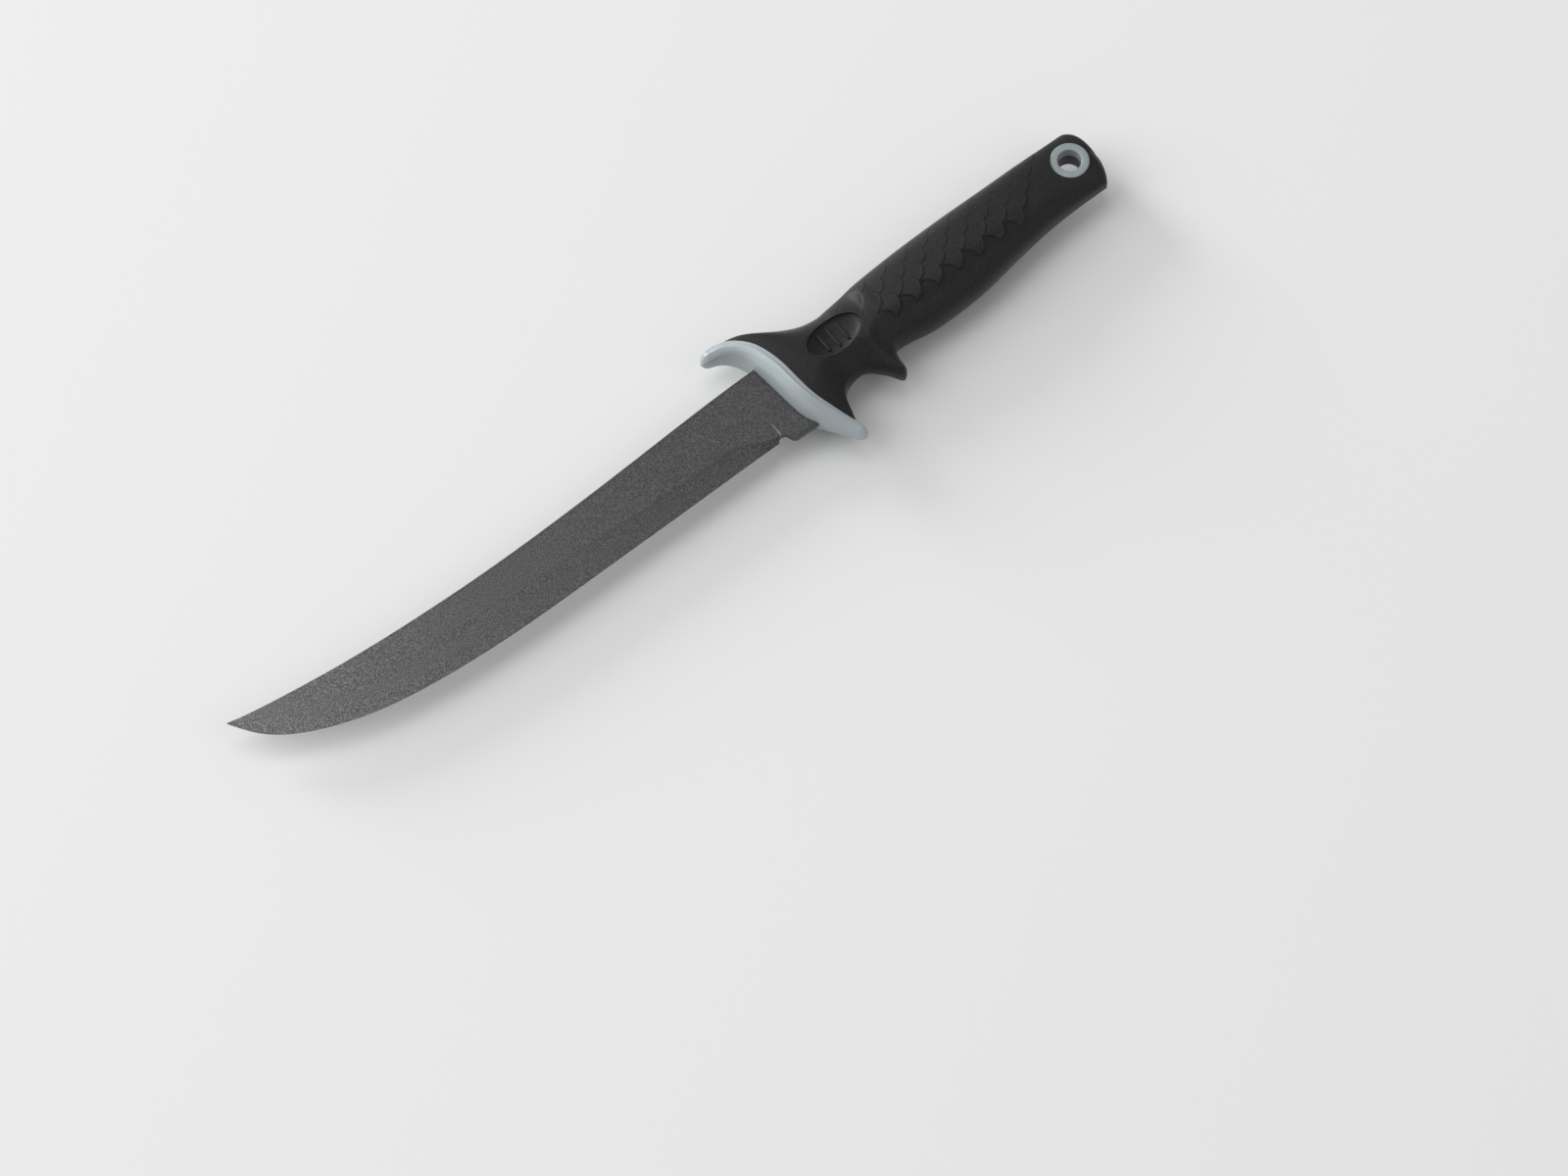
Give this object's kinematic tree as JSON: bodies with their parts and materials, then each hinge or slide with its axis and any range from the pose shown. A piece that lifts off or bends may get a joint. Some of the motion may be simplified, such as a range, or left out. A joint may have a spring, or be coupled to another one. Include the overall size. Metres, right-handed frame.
{
  "type": "fillet knife",
  "caption": "Fixed-blade fillet knife: slim upswept coated blade, full finger guard, soft scaled grip with a finger spur, inlaid thumb pads and a lanyard hole at the butt.",
  "frame": {"origin": "bottom centre of the bounding box, with the knife lying on its side", "axes": "+X from the blade's tip to the butt, +Y from the cutting edge to the spine, +Z out of the side that faces up (the knife's left side)"},
  "size_m": [0.3752, 0.0609, 0.023],
  "materials": {
    "blade_coating": "matt non-stick coating with a fine speckled grain over stainless steel",
    "guard_plastic": "satin moulded glass-filled nylon, cool grey",
    "core_plastic": "plain moulded nylon, hidden under the grip",
    "rivet_steel": "plain stainless steel, hidden under the grip",
    "grip_rubber": "soft matt charcoal elastomer with moulded scales"
  },
  "bodies": {
    "root": {"blade": "blade_coating", "guard": "guard_plastic", "core_left": "core_plastic", "core_right": "core_plastic", "tang_rivet_front": "rivet_steel", "tang_rivet_middle": "rivet_steel", "tang_rivet_rear": "rivet_steel", "lanyard_bushing": "guard_plastic", "thumb_pad_left": "grip_rubber", "thumb_pad_right": "grip_rubber", "grip": "grip_rubber"}
  },
  "joints": []
}
